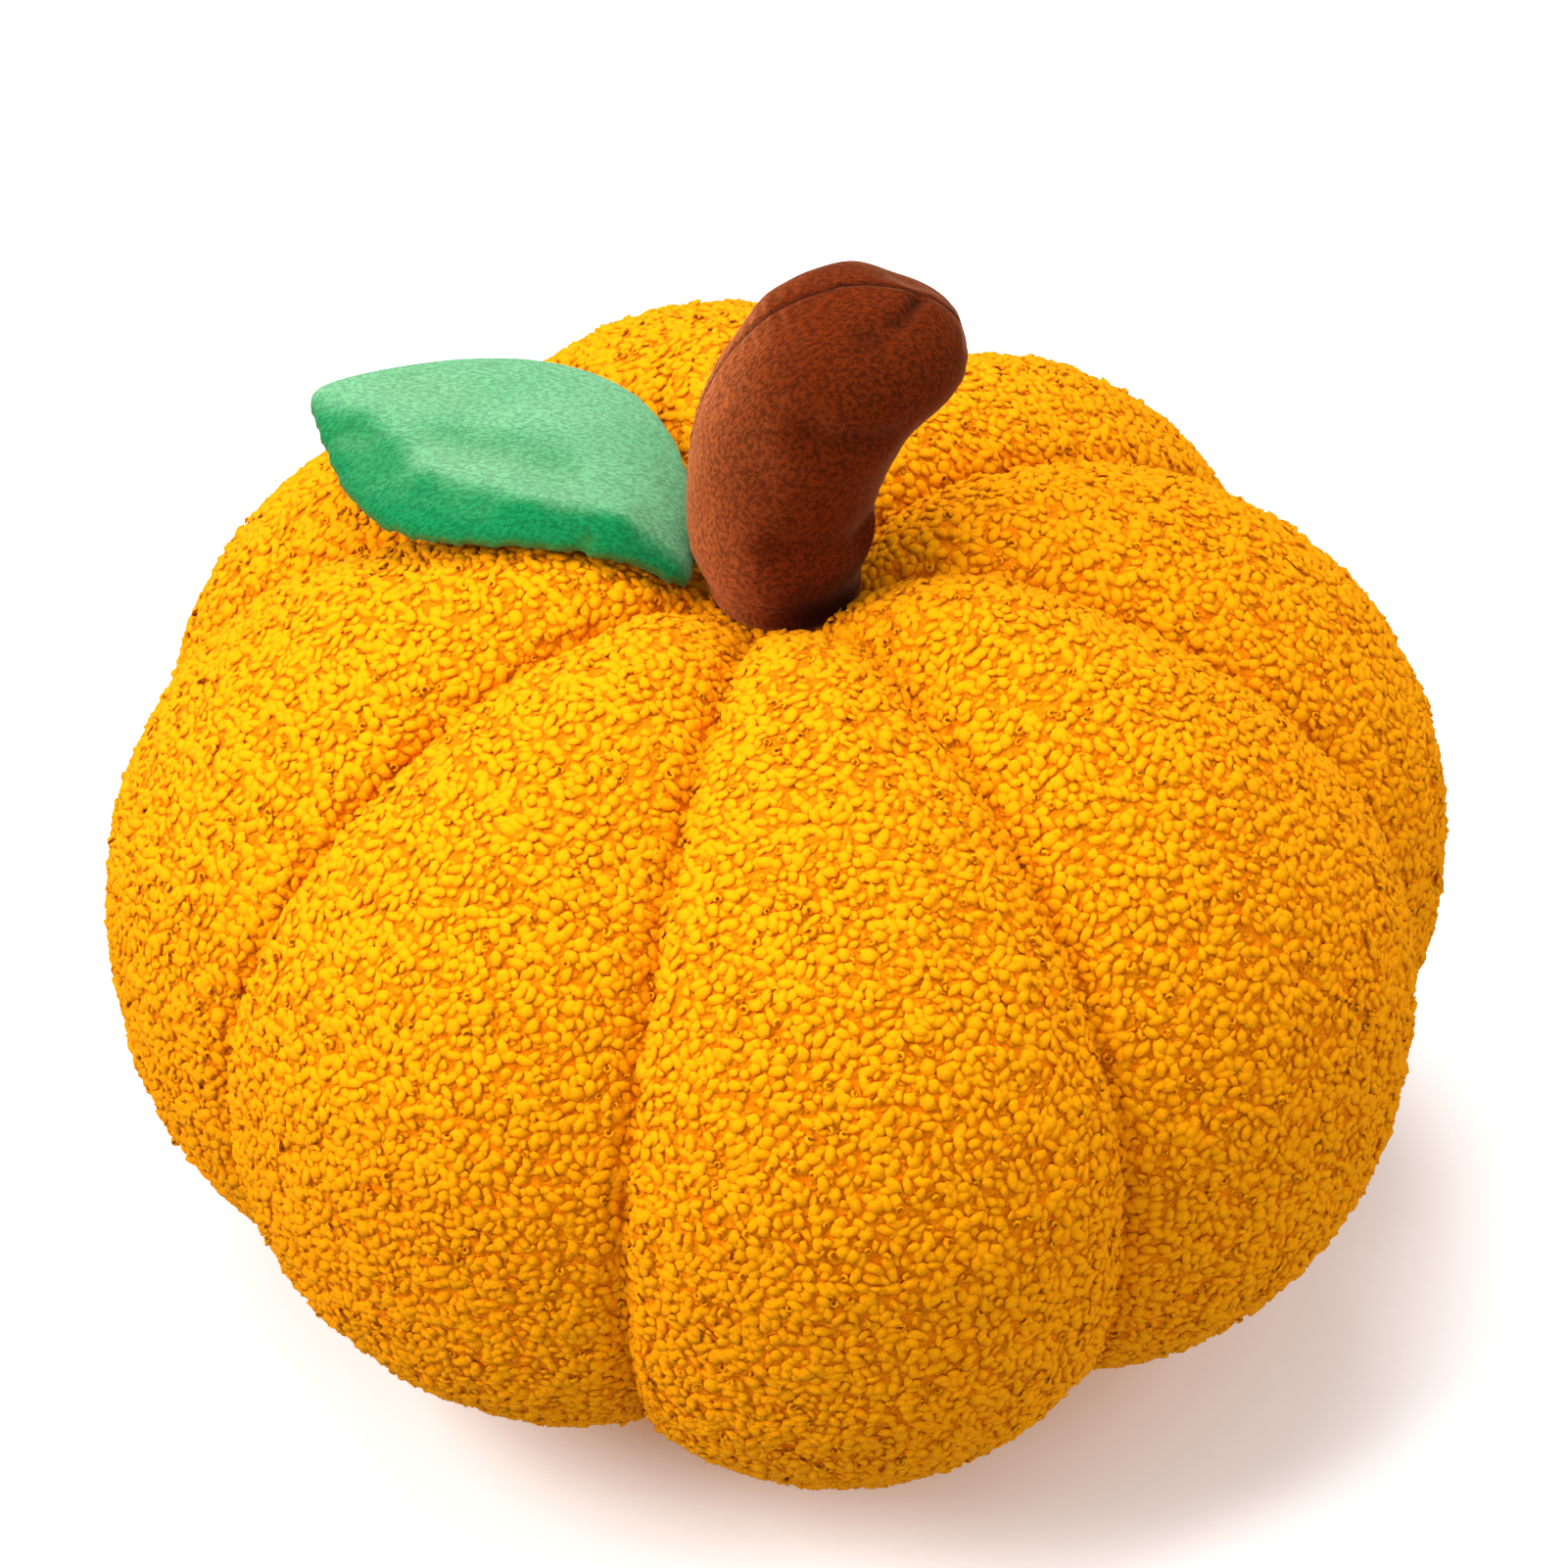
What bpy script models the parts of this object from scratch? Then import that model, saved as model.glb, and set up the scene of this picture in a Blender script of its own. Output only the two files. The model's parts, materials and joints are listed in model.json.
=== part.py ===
"""Pumpkin cushion: a filled body of eight lobes, a bent filled stem and a padded leaf.

The body is drawn in along eight seams that run from the hollow on top to the flat underside.
The stem stands in the hollow, and the leaf is sewn on beside its foot and lies over one lobe.
The origin is on the surface that the cushion rests on, under the middle of the body.
+Z is up, and the front, where azimuths start, is -Y. Azimuths grow towards +X.
Run it with blender --background --python part.py, or from the text editor.
"""

import math
from collections import namedtuple

import bmesh
import bpy
from mathutils import Vector

MM = 0.001

# Body
BODY_RADIUS = 190 * MM  # at the widest, on a lobe's crest
WIDEST_LEVEL = 118 * MM  # height of the widest line above the surface
TOP_RISE = 116 * MM  # from the widest line to the top, before the hollow is drawn in
UNDER_DROP = 128 * MM  # from the widest line down, before the underside is pressed flat
SIDE_POWER = 0.80  # under 1 the sides are fuller than a round
TOP_POWER = 1.05
UNDER_POWER = 0.76
HOLLOW_DEPTH = 29 * MM
HOLLOW_WIDTH = 31 * MM
SEAT_LEVEL = WIDEST_LEVEL + 94.5 * MM  # flat bottom of the hollow, where the stem is sewn on
SEAT_BLEND = 1 * MM
SEAT_REACH = 40 * MM  # the hollow's radius, inside which the seat is pressed flat
REST_BLEND = 3 * MM  # how softly the underside turns into the flat it rests on
SEAM_DEPTH_TOP = 10 * MM
SEAM_DEPTH_SIDE = 16.5 * MM
SEAM_DEPTH_UNDER = 13 * MM
SEAM_FADE_RADIUS = 60 * MM  # inside it the seams run out towards the middle
LOBE_POWER = 0.83  # how full a lobe is beside its seams
COLUMNS_PER_LOBE = 10
ROWS = 32
ROW_POWER = 1.5  # over 1 the rows are closer near the top

# The seam at a lobe's start, in degrees, and how far its crest stands out at the side and on top
Lobe = namedtuple("Lobe", "seam_azimuth side_fullness top_fullness")
LOBES = (
    Lobe(-13.5, 0.26, 0.10),
    Lobe(33.0, -0.05, 0.90),
    Lobe(81.0, 0.00, 0.20),
    Lobe(126.5, 0.10, 0.10),
    Lobe(163.0, 0.40, 0.40),
    Lobe(212.0, 0.00, 0.00),
    Lobe(254.5, -0.30, 0.00),
    Lobe(302.0, -0.20, 0.10),
)

# Stem: its middle line bends towards +X. Heights are above the seat, half widths lie in the
# plane of the bend, and half depths lie along Y.
STEM_SIDES = 12
StemRing = namedtuple("StemRing", "x height half_width half_depth")
STEM_RINGS = (
    StemRing(1.0, 0.3, 11.0, 11.0),
    StemRing(1.0, 3.2, 16.0, 16.0),
    StemRing(1.6, 7.5, 21.2, 21.0),
    StemRing(1.8, 13.5, 24.6, 23.6),
    StemRing(1.2, 24.0, 25.2, 24.2),
    StemRing(2.0, 34.0, 25.8, 24.6),
    StemRing(3.8, 46.5, 27.2, 25.2),
    StemRing(8.4, 60.5, 28.2, 25.8),
    StemRing(16.2, 71.5, 28.0, 25.4),
    StemRing(26.5, 77.8, 26.0, 24.2),
    StemRing(36.8, 79.0, 22.4, 21.0),
    StemRing(45.4, 77.0, 16.4, 15.6),
    StemRing(50.3, 75.0, 8.5, 8.0),
)

# Leaf: laid out along a line that leaves the stem's foot. Front and back say how far the two
# edges lie from that line, and their heights are above the surface the cushion rests on.
LEAF_FOOT = (-23.8 * MM, -7.1 * MM)
LEAF_AZIMUTH = -124.0
LEAF_POINTS_AROUND = 16
LEAF_FOLD_SKEW = 0.6  # under 1 the rise over the lobe sits nearer the front edge
LEAF_FOLD_POWER = 0.8
LeafRib = namedtuple("LeafRib", "along front back front_height back_height rise padding")
LEAF_RIBS = (
    LeafRib(-2.0, -4.0, 2.0, 219.0, 221.0, 0.5, 3.0),
    LeafRib(4.0, -9.5, 13.0, 225.5, 225.5, 2.5, 4.5),
    LeafRib(14.0, -16.5, 26.0, 230.0, 229.0, 4.5, 6.0),
    LeafRib(29.0, -24.0, 40.0, 231.0, 231.0, 6.5, 7.5),
    LeafRib(46.0, -32.0, 48.0, 229.5, 234.0, 7.0, 8.5),
    LeafRib(63.0, -36.5, 48.0, 225.5, 235.0, 8.5, 9.0),
    LeafRib(80.0, -34.0, 43.0, 222.0, 235.0, 9.0, 9.0),
    LeafRib(95.0, -26.5, 34.0, 223.0, 234.0, 7.0, 8.5),
    LeafRib(108.0, -17.0, 23.5, 226.0, 232.5, 4.5, 7.0),
    LeafRib(118.0, -8.0, 12.5, 229.0, 231.0, 2.5, 5.5),
    LeafRib(123.5, -2.5, 3.5, 230.0, 230.5, 0.5, 3.5),
)


def clear_scene():
    """Removes whatever the scene holds, so that the file can be run again."""
    for old in list(bpy.data.objects):
        bpy.data.objects.remove(old, do_unlink=True)


def new_collection(name):
    """A collection that hangs in the scene."""
    collection = bpy.data.collections.new(name)
    bpy.context.scene.collection.children.link(collection)
    return collection


def fabric(name, colour, roughness):
    """A plain cloth material."""
    material = bpy.data.materials.new(name)
    material.use_nodes = True
    shader = material.node_tree.nodes["Principled BSDF"]
    shader.inputs["Base Color"].default_value = (*colour, 1.0)
    shader.inputs["Roughness"].default_value = roughness
    shader.inputs["Metallic"].default_value = 0.0
    return material


def heading(azimuth):
    """The unit vector that points level at an azimuth in degrees."""
    angle = math.radians(azimuth)
    return Vector((math.sin(angle), -math.cos(angle), 0.0))


def raised(value, level, blend):
    """The value, kept from going under the level by a smooth turn of that blend."""
    over = value - level
    if over <= -blend:
        return level
    if over >= blend:
        return value
    return level + (over + blend) ** 2 / (4 * blend)


def body_profile(polar):
    """(radius, height) of the body's crest line at an angle from the top, before any pressing."""
    radius = BODY_RADIUS * max(math.sin(polar), 0.0) ** SIDE_POWER
    upright = math.cos(polar)
    if upright >= 0:
        hollow = HOLLOW_DEPTH * math.exp(-((radius / HOLLOW_WIDTH) ** 2))
        return radius, WIDEST_LEVEL + TOP_RISE * upright**TOP_POWER - hollow
    return radius, WIDEST_LEVEL - UNDER_DROP * (-upright) ** UNDER_POWER


def profile_normal(polar):
    """(outward, upward) parts of the unit normal of the crest line."""
    step = 0.002
    before = Vector(body_profile(max(polar - step, 0.0)))
    after = Vector(body_profile(min(polar + step, math.pi)))
    along = (after - before).normalized()
    return -along.y, along.x


def seam_depth(polar, radius):
    """How far a seam is drawn in from the crest line."""
    upright = math.cos(polar)
    end_depth = SEAM_DEPTH_TOP if upright > 0 else SEAM_DEPTH_UNDER
    depth = SEAM_DEPTH_SIDE * math.sin(polar) ** 2 + end_depth * upright**2
    return depth * min(1.0, radius / SEAM_FADE_RADIUS)


def body_point(polar, lobe, across):
    """A point of the body. across runs from -1 at the lobe's first seam to 1 at its second."""
    radius, height = body_profile(polar)
    outward, upward = profile_normal(polar)
    depth = seam_depth(polar, radius)
    swell = max(1.0 - across**2, 0.0) ** LOBE_POWER
    top = max(math.cos(polar), 0.0) ** 2
    fullness = LOBES[lobe].side_fullness * (1.0 - top) + LOBES[lobe].top_fullness * top
    fullness *= min(1.0, radius / SEAM_FADE_RADIUS) ** 2
    offset = depth * ((1.0 + fullness) * swell - 1.0)
    start = LOBES[lobe].seam_azimuth
    end = LOBES[(lobe + 1) % len(LOBES)].seam_azimuth
    if end < start:
        end += 360.0
    azimuth = start + (end - start) * (across + 1.0) / 2.0
    height = raised(height + offset * upward, 0.0, REST_BLEND)
    if radius < SEAT_REACH and polar < math.pi / 2:
        height = raised(height, SEAT_LEVEL, SEAT_BLEND)
    point = heading(azimuth) * (radius + offset * outward)
    point.z = height
    return point


def build_body(collection):
    """The body: a ball whose rows and columns are moved onto the lobes."""
    columns = COLUMNS_PER_LOBE * len(LOBES)
    mesh = bpy.data.meshes.new("body")
    ball = bmesh.new()
    bmesh.ops.create_uvsphere(ball, u_segments=columns, v_segments=ROWS, radius=1.0)
    for vertex in ball.verts:
        row = math.acos(max(-1.0, min(1.0, vertex.co.z))) / math.pi
        polar = math.pi * row**ROW_POWER
        turn = math.atan2(vertex.co.y, vertex.co.x) / math.tau * columns
        column = round(turn) % columns
        lobe, step = divmod(column, COLUMNS_PER_LOBE)
        even = 2.0 * step / COLUMNS_PER_LOBE - 1.0
        across = even * (1.35 - 0.35 * even**2)
        vertex.co = body_point(polar, lobe, across)
    ball.to_mesh(mesh)
    ball.free()
    return add_piece(mesh, collection, fabric("body_boucle", (0.89, 0.36, 0.012), 0.95))


def add_piece(mesh, collection, material):
    """An object of that mesh, smoothly shaded, in the collection."""
    mesh.shade_smooth()
    mesh.materials.append(material)
    piece = bpy.data.objects.new(mesh.name, mesh)
    collection.objects.link(piece)
    return piece


def soften(piece):
    """One subdivision, the same in a render as in the viewport."""
    rounding = piece.modifiers.new("rounding", "SUBSURF")
    rounding.levels = 1
    rounding.render_levels = 1


def loft(name, rings):
    """A closed mesh through rings of points, each with the same number of points."""
    mesh = bpy.data.meshes.new(name)
    shape = bmesh.new()
    loops = [[shape.verts.new(point) for point in ring] for ring in rings]
    around = len(loops[0])
    for lower, upper in zip(loops, loops[1:]):
        for index in range(around):
            beside = (index + 1) % around
            shape.faces.new((lower[index], lower[beside], upper[beside], upper[index]))
    for end in (loops[0], loops[-1]):
        cap = shape.faces.new(end)
        bmesh.ops.poke(shape, faces=[cap])
    bmesh.ops.recalc_face_normals(shape, faces=shape.faces)
    shape.to_mesh(mesh)
    shape.free()
    return mesh


def stem_rings():
    """The points of each ring, square to the stem's middle line."""
    middles = [Vector((ring.x * MM, 0.0, SEAT_LEVEL + ring.height * MM)) for ring in STEM_RINGS]
    last = len(middles) - 1
    for index, ring in enumerate(STEM_RINGS):
        along = (middles[min(index + 1, last)] - middles[max(index - 1, 0)]).normalized()
        if index == 0:
            along = Vector((0.0, 0.0, 1.0))
        sideways = Vector((along.z, 0.0, -along.x))
        yield [
            middles[index]
            + sideways * (ring.half_width * MM * math.cos(math.tau * side / STEM_SIDES))
            + Vector((0.0, 1.0, 0.0)) * (ring.half_depth * MM * math.sin(math.tau * side / STEM_SIDES))
            for side in range(STEM_SIDES)
        ]


def build_stem(collection):
    """The stem: a filled tube that stands in the hollow and bends over at the top."""
    mesh = loft("stem", list(stem_rings()))
    stem = add_piece(mesh, collection, fabric("stem_velvet", (0.17, 0.026, 0.004), 0.85))
    soften(stem)
    return stem


def leaf_rings():
    """The points round each rib, from the front edge over the top and back underneath."""
    foot = Vector((*LEAF_FOOT, 0.0))
    along = heading(LEAF_AZIMUTH)
    across = Vector((along.y, -along.x, 0.0))
    for rib in LEAF_RIBS:
        ring = []
        for index in range(LEAF_POINTS_AROUND):
            angle = math.tau * index / LEAF_POINTS_AROUND
            share = (1.0 - math.cos(angle)) / 2.0
            fold = max(math.sin(math.pi * share**LEAF_FOLD_SKEW), 0.0) ** LEAF_FOLD_POWER
            height = rib.front_height + (rib.back_height - rib.front_height) * share
            height += rib.rise * fold + rib.padding / 2.0 * math.sin(angle)
            side = rib.front + (rib.back - rib.front) * share
            point = foot + along * (rib.along * MM) + across * (side * MM)
            point.z = height * MM
            ring.append(point)
        yield ring


def build_leaf(collection):
    """The leaf: padded, pointed at both ends, and folded over the lobe that it lies on."""
    mesh = loft("leaf", list(leaf_rings()))
    leaf = add_piece(mesh, collection, fabric("leaf_velvet", (0.16, 0.56, 0.28), 0.8))
    soften(leaf)
    return leaf


def main():
    """Builds the cushion."""
    clear_scene()
    collection = new_collection("pumpkin_cushion")
    build_body(collection)
    build_stem(collection)
    build_leaf(collection)


main()
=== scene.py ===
"""Pumpkin cushion: the looks of its boucle body, its stuffed velvet stem and its padded velvet leaf."""

import json
import logging
import math
from dataclasses import dataclass, field
from enum import Enum
from typing import Any

import bmesh
import bpy
import numpy as np
from mathutils import Matrix, Vector
from mathutils.bvhtree import BVHTree

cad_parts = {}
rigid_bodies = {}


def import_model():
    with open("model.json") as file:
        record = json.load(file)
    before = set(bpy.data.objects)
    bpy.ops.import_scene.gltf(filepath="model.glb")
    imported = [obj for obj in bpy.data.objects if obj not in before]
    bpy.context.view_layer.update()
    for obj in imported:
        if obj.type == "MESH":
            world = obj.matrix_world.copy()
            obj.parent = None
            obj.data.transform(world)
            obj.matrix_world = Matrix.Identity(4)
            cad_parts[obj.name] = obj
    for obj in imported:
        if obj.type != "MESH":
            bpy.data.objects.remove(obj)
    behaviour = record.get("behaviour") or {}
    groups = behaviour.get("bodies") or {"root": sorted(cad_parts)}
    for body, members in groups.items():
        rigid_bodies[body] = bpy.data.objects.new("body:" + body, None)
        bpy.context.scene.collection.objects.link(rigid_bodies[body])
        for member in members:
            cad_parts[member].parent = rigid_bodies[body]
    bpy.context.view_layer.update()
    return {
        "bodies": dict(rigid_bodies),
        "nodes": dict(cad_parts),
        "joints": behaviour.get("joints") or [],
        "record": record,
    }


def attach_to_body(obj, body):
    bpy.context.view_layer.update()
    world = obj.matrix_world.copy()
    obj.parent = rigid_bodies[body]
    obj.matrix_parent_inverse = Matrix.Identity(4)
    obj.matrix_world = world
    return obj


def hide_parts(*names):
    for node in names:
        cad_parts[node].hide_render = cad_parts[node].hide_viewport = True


MM = 0.001
SEAM_AZIMUTHS = (-13.5, 33.0, 81.0, 126.5, 163.0, 212.0, 254.5, 302.0)
WELD = 0.01 * MM
# How much painted shade the seams get.
SEAM_SHADE = 0.75
LOG = logging.getLogger("pumpkin_cushion")

Points = np.ndarray
Colour = tuple[float, float, float]
Direction = tuple[float, float, float]
Place = tuple[float, float, float]
Size = tuple[float, float, float]


class Pile(Enum):
    """Which way a velvet is brushed, as the turn of its mottling in radians."""

    UPRIGHT = (0.3, 0.2, 0.4)
    SLANTED = (0.0, 0.0, 0.9)


# Node trees


class Sheet:
    """A node tree that is filled step by step."""

    def __init__(self, tree: bpy.types.NodeTree) -> None:
        """Starts on that tree."""
        self.tree = tree

    def add(self, kind: str, inputs: dict[Any, Any] | None = None, **settings: Any) -> bpy.types.Node:
        """Adds a node.

        Args:
            kind: The node's type name.
            inputs: Socket name or index to a value, or to the socket that feeds it.
            settings: Properties of the node.

        Returns:
            The node.
        """
        node = self.tree.nodes.new(kind)
        for name, value in settings.items():
            setattr(node, name, value)
        for name, value in (inputs or {}).items():
            self.feed(node.inputs[name], value)
        return node

    def feed(self, socket: bpy.types.NodeSocket, value: Any) -> None:
        """Links the socket if the value is a socket, and otherwise sets it."""
        if isinstance(value, bpy.types.NodeSocket):
            self.tree.links.new(value, socket)
        else:
            socket.default_value = value

    def maths(self, operation: str, *values: Any) -> bpy.types.NodeSocket:
        """The result of a Math node on those values."""
        node = self.add("ShaderNodeMath", dict(enumerate(values)), operation=operation)
        return node.outputs[0]

    def mix(self, factor: Any, first: Any, second: Any, blend: str = "MIX") -> bpy.types.NodeSocket:
        """The result of mixing two colours by that factor."""
        node = self.add("ShaderNodeMix", {0: factor, 6: first, 7: second}, data_type="RGBA", blend_type=blend)
        return node.outputs[2]

    def between(self, factor: float, first: Any, second: Any) -> bpy.types.NodeSocket:
        """The vector that lies that far from the first to the second."""
        node = self.add("ShaderNodeMix", {0: factor, 4: first, 5: second}, data_type="VECTOR")
        return node.outputs[1]

    def shade(self, colour: Any, factor: Any) -> bpy.types.NodeSocket:
        """The colour made lighter or darker by that factor."""
        grey = self.add("ShaderNodeCombineXYZ", {0: factor, 1: factor, 2: factor}).outputs[0]
        return self.mix(1.0, colour, grey, "MULTIPLY")

    def mask(self, attribute: str) -> bpy.types.NodeSocket:
        """A number that the mesh keeps under that name."""
        return self.add("ShaderNodeAttribute", attribute_name=attribute).outputs["Fac"]

    def random(self, low: float, high: float, seed: int) -> bpy.types.NodeSocket:
        """A random number for each point, in Geometry Nodes."""
        node = self.add("FunctionNodeRandomValue", {2: low, 3: high, "Seed": seed}, data_type="FLOAT")
        return node.outputs[1]

    def kept(self, geometry: Any, name: str, value: Any, kind: str) -> bpy.types.NodeSocket:
        """The geometry with a value kept on each of its instances."""
        node = self.add(
            "GeometryNodeStoreNamedAttribute",
            {"Geometry": geometry, "Name": name, "Value": value},
            domain="INSTANCE",
            data_type=kind,
        )
        return node.outputs[0]

    def spread(self, value: Any, low: float, high: float, to_low: float = 0.0, to_high: float = 1.0) -> Any:
        """The value mapped smoothly from one range to another and held inside it."""
        node = self.add(
            "ShaderNodeMapRange",
            {0: value, 1: low, 2: high, 3: to_low, 4: to_high},
            interpolation_type="SMOOTHSTEP",
        )
        return node.outputs[0]


def rgba(colour: Colour) -> tuple[float, float, float, float]:
    """The colour with full alpha."""
    return (*colour, 1.0)


def new_material(name: str) -> tuple[bpy.types.Material, Sheet, bpy.types.Node]:
    """A node material.

    Args:
        name: The material's name.

    Returns:
        The material, its node sheet and its Principled shader.
    """
    material = bpy.data.materials.new(name)
    material.use_nodes = True
    return material, Sheet(material.node_tree), material.node_tree.nodes["Principled BSDF"]


def fibre_group() -> bpy.types.NodeTree:
    """The node group that gives yarn its fine fibres, as a height."""
    group = bpy.data.node_groups.get("fine_fibres")
    if group is not None:
        return group
    group = bpy.data.node_groups.new("fine_fibres", "ShaderNodeTree")
    group.interface.new_socket("Scale", in_out="INPUT", socket_type="NodeSocketFloat")
    group.interface.new_socket("Height", in_out="OUTPUT", socket_type="NodeSocketFloat")
    sheet = Sheet(group)
    given = sheet.add("NodeGroupInput")
    place = sheet.add("ShaderNodeTexCoord").outputs["Object"]
    fine = sheet.add(
        "ShaderNodeTexNoise",
        {"Vector": place, "Scale": given.outputs["Scale"], "Detail": 4.0, "Roughness": 0.7},
    )
    result = sheet.add("NodeGroupOutput")
    sheet.feed(result.inputs["Height"], fine.outputs[0])
    return group


def fibres(sheet: Sheet, scale: float) -> bpy.types.NodeSocket:
    """The height of fine fibres, that many to the metre."""
    node = sheet.add("ShaderNodeGroup", node_tree=fibre_group())
    node.inputs["Scale"].default_value = scale
    return node.outputs["Height"]


@dataclass(frozen=True)
class BoucleFinish:
    """Looped boucle: bright curls with painted shade towards their roots, over a darker ground with painted
    shade between its fine domes.
    """

    name: str
    curl_light: Colour = (0.92, 0.335, 0.0018)
    # Colour of the curls' darker tones and of the painted shade at their roots.
    curl_dark_tone_and_root_shade: Colour = (0.89, 0.258, 0.0015)
    ground_light: Colour = (0.90, 0.276, 0.0015)
    # Colour of the painted shade between the ground's fine domes.
    ground_gap_shade: Colour = (0.82, 0.205, 0.001)
    roughness: float = 0.95
    specular: float = 0.03
    sheen: float = 0.05
    sheen_roughness: float = 0.3
    sheen_tint: Colour = (1.0, 0.6, 0.12)
    softness: float = 0.5
    tone_share: float = 0.45
    root_shade_share: float = 0.65
    curl_fibres: float = 900.0
    curl_bump: float = 0.9 * MM
    ground_cells: float = 430.0
    ground_drift: float = 0.0025
    ground_fibres: float = 1500.0
    ground_bump: float = 1.4 * MM

    def _finish(self, shader: bpy.types.Node) -> None:
        """Sets what is the same all over the yarn."""
        shader.inputs["Roughness"].default_value = self.roughness
        shader.inputs["Specular IOR Level"].default_value = self.specular
        shader.inputs["Sheen Weight"].default_value = self.sheen
        shader.inputs["Sheen Roughness"].default_value = self.sheen_roughness
        shader.inputs["Sheen Tint"].default_value = rgba(self.sheen_tint)

    def curls(self) -> bpy.types.Material:
        """The material of the curls, each with its own tone and painted shade towards its root."""
        material, sheet, shader = new_material(self.name + "_curls")
        # Painted shade: each curl darkens towards its root (rise), mixed with its own random tone.
        tone = sheet.maths("MULTIPLY", sheet.mask("tone"), self.tone_share)
        rise = sheet.maths("MULTIPLY", sheet.mask("rise"), self.root_shade_share)
        tone_and_root_shade = sheet.spread(sheet.maths("ADD", tone, rise), 0.15, 0.85)
        fuzz = fibres(sheet, self.curl_fibres)
        colour = sheet.mix(tone_and_root_shade, rgba(self.curl_dark_tone_and_root_shade), rgba(self.curl_light))
        colour = sheet.shade(colour, sheet.spread(fuzz, 0.2, 0.8, 0.9, 1.05))
        sheet.feed(shader.inputs["Base Color"], colour)
        own = sheet.add("ShaderNodeTexCoord").outputs["Normal"]
        lie = sheet.add("ShaderNodeAttribute", attribute_name="lie").outputs["Vector"]
        leaning = sheet.between(self.softness, own, lie)
        soft = sheet.add("ShaderNodeVectorMath", {0: leaning}, operation="NORMALIZE").outputs[0]
        bump = sheet.add(
            "ShaderNodeBump",
            {"Strength": 0.8, "Distance": self.curl_bump, "Height": fuzz, "Normal": soft},
        )
        sheet.feed(shader.inputs["Normal"], bump.outputs[0])
        self._finish(shader)
        return material

    def ground(self) -> bpy.types.Material:
        """The material of the cloth between the curls, itself made of finer curls, with painted shade between
        them.
        """
        material, sheet, shader = new_material(self.name + "_ground")
        place = sheet.add("ShaderNodeTexCoord").outputs["Object"]
        drift = sheet.add("ShaderNodeTexNoise", {"Vector": place, "Scale": 260.0, "Detail": 2.0})
        moved = sheet.between(self.ground_drift, place, drift.outputs["Color"])
        cells = sheet.add("ShaderNodeTexVoronoi", {"Vector": moved, "Scale": self.ground_cells}, feature="F1")
        domes = sheet.spread(cells.outputs["Distance"], 0.75, 0.15)
        height = sheet.maths("ADD", domes, sheet.maths("MULTIPLY", fibres(sheet, self.ground_fibres), 0.5))
        # Painted shade: the ground is darker between its fine domes.
        colour = sheet.mix(domes, rgba(self.ground_gap_shade), rgba(self.ground_light))
        sheet.feed(shader.inputs["Base Color"], colour)
        bump = sheet.add("ShaderNodeBump", {"Strength": 1.0, "Distance": self.ground_bump, "Height": height})
        sheet.feed(shader.inputs["Normal"], bump.outputs[0])
        self._finish(shader)
        return material


@dataclass(frozen=True)
class VelvetFinish:
    """Short velvet: brushed patches, a soft rim of light, painted shade on the side that faces one way and
    painted shade in creases.
    """

    name: str
    brushed_light: Colour
    brushed_deep: Colour
    crease: Colour
    # Colour of the painted shade on the surfaces that face away from the light.
    shaded_side_colour: Colour
    sheen_tint: Colour
    pile: Pile
    shade_toward: Direction
    shade_from: float
    shade_to: float
    sheen: float
    grain_low: float
    grain_high: float = 1.18
    sheen_roughness: float = 0.35
    roughness: float = 0.85
    specular: float = 0.05
    patch_scale: float = 28.0
    patch_stretch: float = 2.2
    patch_strength: float = 0.5
    patch_shade_shift: float = 0.16
    hair_scale: float = 620.0
    hair_bump: float = 0.3 * MM

    def material(self) -> bpy.types.Material:
        """The velvet's material."""
        material, sheet, shader = new_material(self.name)
        place = sheet.add("ShaderNodeTexCoord")
        brushed = sheet.add(
            "ShaderNodeMapping",
            {
                "Vector": place.outputs["Object"],
                "Rotation": self.pile.value,
                "Scale": (1.0, self.patch_stretch, 1.0),
            },
        ).outputs[0]
        patches = sheet.add(
            "ShaderNodeTexNoise",
            {"Vector": brushed, "Scale": self.patch_scale, "Detail": 5.0, "Roughness": 0.55},
        )
        hairs = sheet.add(
            "ShaderNodeTexNoise",
            {"Vector": brushed, "Scale": self.hair_scale, "Detail": 3.0, "Roughness": 0.7},
        )
        mask = sheet.spread(patches.outputs[0], 0.3, 0.7)
        patched = sheet.maths("MULTIPLY", mask, self.patch_strength)
        colour = sheet.mix(patched, rgba(self.brushed_light), rgba(self.brushed_deep))
        # Painted shade: surfaces that face one way are darker, their edge made uneven by the patches.
        facing = sheet.add(
            "ShaderNodeVectorMath",
            {0: place.outputs["Normal"], 1: self.shade_toward},
            operation="DOT_PRODUCT",
        ).outputs["Value"]
        uneven = sheet.maths("MULTIPLY_ADD", mask, self.patch_shade_shift, -0.5 * self.patch_shade_shift)
        side_shade = sheet.spread(sheet.maths("ADD", facing, uneven), self.shade_from, self.shade_to)
        colour = sheet.mix(side_shade, colour, rgba(self.shaded_side_colour))
        grain = sheet.spread(hairs.outputs[0], 0.38, 0.62, self.grain_low, self.grain_high)
        # Painted shade in the seams and folds.
        colour = sheet.mix(sheet.mask("crease"), sheet.shade(colour, grain), rgba(self.crease))
        sheet.feed(shader.inputs["Base Color"], colour)
        bump = sheet.add(
            "ShaderNodeBump",
            {"Strength": 0.45, "Distance": self.hair_bump, "Height": hairs.outputs[0]},
        )
        sheet.feed(shader.inputs["Normal"], bump.outputs[0])
        shader.inputs["Roughness"].default_value = self.roughness
        shader.inputs["Specular IOR Level"].default_value = self.specular
        shader.inputs["Sheen Weight"].default_value = self.sheen
        shader.inputs["Sheen Roughness"].default_value = self.sheen_roughness
        shader.inputs["Sheen Tint"].default_value = rgba(self.sheen_tint)
        return material


# Mesh work


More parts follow.
